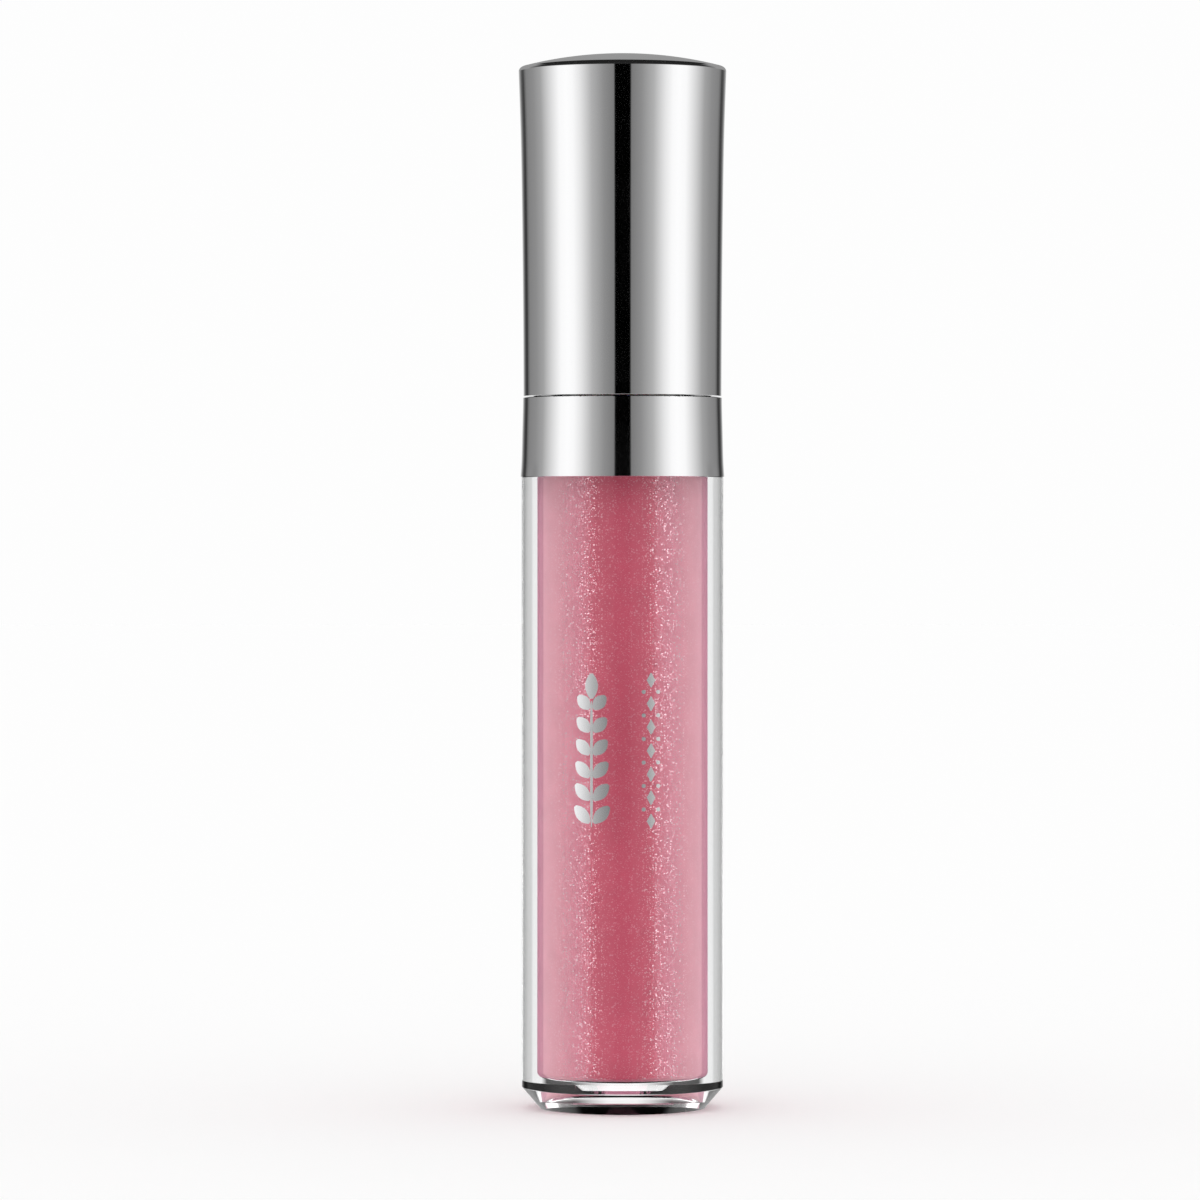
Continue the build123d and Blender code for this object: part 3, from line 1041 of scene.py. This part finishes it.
def make_fibres():
    """Short fibres that stand out of the coat, leaning at random."""
    random.seed(7)
    shape = bmesh.new()
    count = 0
    while count < FIBRE_COUNT:
        height = random.uniform(FIBRE_FLOOR, TIP_LENGTH - FIBRE_TOP_GAP)
        angle = random.uniform(0, 2 * math.pi)
        root = tip_point(angle, height, FIBRE_ROOT, RESERVOIR_FLOOR)
        if is_bare(root, height):
            continue
        count += 1
        flank = abs(math.sin(angle)) ** 3 * min(1.0, height / 5)
        add_fibre(shape, root, outward_at(root, angle, height), flank)
    return smooth(object_from("flock_fibres", shape), 80)


# ---------------------------------------------------------------- studio


def world_direction(tree):
    """The azimuth from the front and the height above or below the horizon of a direction, in degrees."""
    place = tree.nodes.new("ShaderNodeTexCoord")
    split = tree.nodes.new("ShaderNodeSeparateXYZ")
    tree.links.new(place.outputs["Generated"], split.inputs["Vector"])
    forward = math_node(tree, "MULTIPLY", split.outputs["Y"], -1)
    angle = math_node(tree, "ARCTAN2", split.outputs["X"], forward)
    azimuth = math_node(tree, "DEGREES", math_node(tree, "ABSOLUTE", angle))
    height = math_node(tree, "DEGREES", math_node(tree, "ARCSINE", split.outputs["Z"]))
    return azimuth, height


def levels(tree, degrees, low, high, stops):
    """Brightness along an angle, from (degrees, level) stops between low and high degrees."""
    share = math_node(tree, "DIVIDE", math_node(tree, "SUBTRACT", degrees, low), high - low)
    return shades(tree, share, [((at - low) / (high - low), level) for at, level in stops])


def by_azimuth(tree, azimuth, stops):
    return levels(tree, azimuth, 0, 180, stops)


def by_height(tree, height, stops):
    return levels(tree, height, -90, 90, stops)


def seen_in_mirrors(tree, azimuth, height):
    """Tall soft boxes at both sides, a dark slot at the front, a grey wall behind and dark flags above."""
    sides = by_azimuth(
        tree, azimuth,
        [
            (0, 0.0), (8.8, 0.0), (9.6, 0.2), (21, 0.28), (35, 0.46), (49, 0.84), (58, 1.02), (66, 1.06),
            (76, 1.02), (91, 0.69), (105, 0.38), (119, 0.28), (136, 0.23), (141, 0.15), (146, 0.035),
            (153, 0.06), (160, 0.22), (168, 0.55), (180, 0.9),
        ],
    )
    flags = by_azimuth(tree, azimuth, [(110, 0.02), (130, 0.31)])
    is_behind = by_azimuth(tree, azimuth, [(110, 0.0), (130, 1.0)])
    over_low_edge = by_height(tree, height, [(3, 0.0), (6, 1.0)])
    over_boxes = by_height(tree, height, [(9, 0.0), (13, 1.0)])
    overhead = by_height(tree, height, [(32, 0.0), (38, 1.0)])
    table = by_height(tree, height, [(-62, 0.0), (-52, 1.0), (-22, 1.0), (-12, 0.0)])
    seen = blended(tree, over_boxes, sides, flags)
    seen = blended(tree, math_node(tree, "MULTIPLY", over_low_edge, is_behind), seen, flags)
    steep = math_node(tree, "GREATER_THAN", math_node(tree, "ABSOLUTE", height), 58)
    seen = blended(tree, math_node(tree, "MAXIMUM", overhead, steep), seen, grey(0.015))
    return blended(tree, table, seen, grey(0.9))


def seen_through_wall(tree, azimuth, height):
    """What the clear wall bends into view: bright sides that light the gloss, and the bands behind."""
    around = by_azimuth(
        tree, azimuth,
        [
            (0, 0.12), (38, 0.15), (48, SIDE_LIGHT), (94, SIDE_LIGHT), (99, 0.77), (121, 0.77), (124, 1.0),
            (135, 1.0), (140, 0.06), (157, 0.06), (168, 0.7), (174, 1.0),
        ],
    )
    steepness = math_node(tree, "ABSOLUTE", height)
    steep = levels(tree, steepness, 0, 90, [(26, 0.0), (38, 1.0)])
    return blended(tree, steep, around, grey(TOP_LIGHT))


def make_world():
    """A plain studio whose light differs for mirrors, for the clear wall and for everything else."""
    world = bpy.data.worlds.new("studio")
    bpy.context.scene.world = world
    world.use_nodes = True
    tree = world.node_tree
    azimuth, height = world_direction(tree)
    mirrored = seen_in_mirrors(tree, azimuth, height)
    through = seen_through_wall(tree, azimuth, height)
    path = tree.nodes.new("ShaderNodeLightPath")
    seen = blended(tree, path.outputs["Is Glossy Ray"], grey(1.0), mirrored)
    seen = blended(tree, path.outputs["Is Transmission Ray"], seen, through)
    seen = blended(tree, path.outputs["Is Camera Ray"], seen, grey(BACKDROP))
    tree.links.new(seen, tree.nodes["Background"].inputs["Color"])


def make_floor():
    """A wide matt floor, left out of mirrors and of what the clear wall bends into view."""
    floor = turned("studio_floor", [(0, FLOOR_TOP), (FLOOR_R, FLOOR_TOP), (FLOOR_R, -1), (0, -1)], 64)
    material, _, shader = new_material("pale_floor")
    shader.inputs["Base Color"].default_value = grey(BACKDROP)
    shader.inputs["Roughness"].default_value = 0.9
    shader.inputs["Specular IOR Level"].default_value = 0
    paint(floor, material)
    floor.visible_glossy = False
    floor.visible_transmission = False


def make_camera():
    """A long lens a little above mid height, tipped down by a hair."""
    distance = 0.574
    height = 0.0543
    aside = -0.00212
    tip_degrees = 0.64
    lens = bpy.data.cameras.new("camera")
    lens.sensor_width = 36
    lens.lens = 182.6
    lens.clip_start = 0.01
    camera = new_object("camera", lens)
    camera.location = (aside, -distance, height)
    camera.rotation_euler = (math.radians(90 - tip_degrees), 0, 0)
    bpy.context.scene.camera = camera


bpy.context.scene.view_settings.view_transform = "Standard"
bpy.context.scene.render.film_transparent = False
make_world()
make_floor()
make_camera()

# Each piece: its maker, its material, the body it rides on, the CAD node it replaces and its slot
pieces = [
    (make_barrel, clear_plastic(), "bottle", "bottle", "clear_wall"),
    (make_gloss, gloss_material(), "bottle", "gloss_fill", "gloss"),
    (make_collar, mirror_silver("mirror_collar"), "bottle", "shoulder_collar", "mirror_silver"),
    (make_cap, mirror_silver("mirror_cap"), "cap", "cap_shell", "mirror_silver"),
    (make_wiper, soft_white("wiper_white"), "bottle", "wiper", "soft_white"),
    (make_rod, frosted_rod(), "cap", "applicator_rod", "clear_rod"),
    (make_label, label_material(), "bottle", "base_label", "label_black"),
    (make_tip_core, core_material(), "cap", "tip_core", "tip_core"),
    (make_tip_coat, coat_material(), "cap", "tip_flock", "flock"),
    (make_fibres, fibre_material(), "cap", None, "flock"),
    (make_bead, bead_material(), "cap", None, "gloss"),
    (make_ornament, foil_material(), "bottle", None, "mirror_silver"),
]
for make, material, body, cad_node, slot in pieces:
    piece = paint(make(), material)
    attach(piece, body)
    if cad_node:
        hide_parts(cad_node)

paint(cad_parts["inner_cap"], soft_white("liner_white"))
paint(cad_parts["sealing_washer"], soft_white("washer_white"))
paint(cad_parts["cap_weight"], steel_material())
